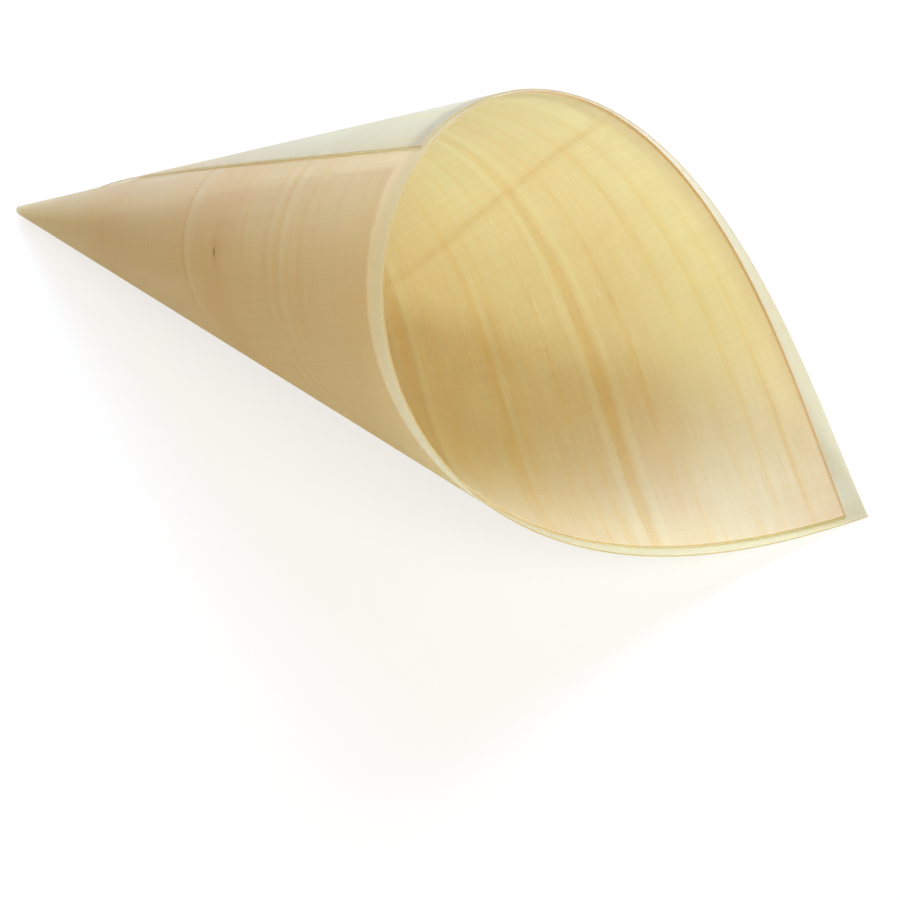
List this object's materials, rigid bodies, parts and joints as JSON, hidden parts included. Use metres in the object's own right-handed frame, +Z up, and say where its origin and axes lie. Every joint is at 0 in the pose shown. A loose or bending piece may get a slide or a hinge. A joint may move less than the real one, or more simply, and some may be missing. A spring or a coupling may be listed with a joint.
{
  "type": "wooden food cone",
  "caption": "Open cone rolled from one thin sheet of wood veneer, with a sharp point and a slanted mouth that runs out to a long tip, for serving finger food.",
  "frame": {"origin": "middle of the bounding box, on the surface that the cone lies on", "axes": "+X along the line that the cone lies on, from its point towards the tip of its mouth; +Z up, away from that surface"},
  "size_m": [0.2204, 0.0851, 0.0758],
  "materials": {
    "veneer": "bare peeled veneer, matt"
  },
  "bodies": {
    "root": {"rolled_veneer": "veneer"}
  },
  "joints": []
}
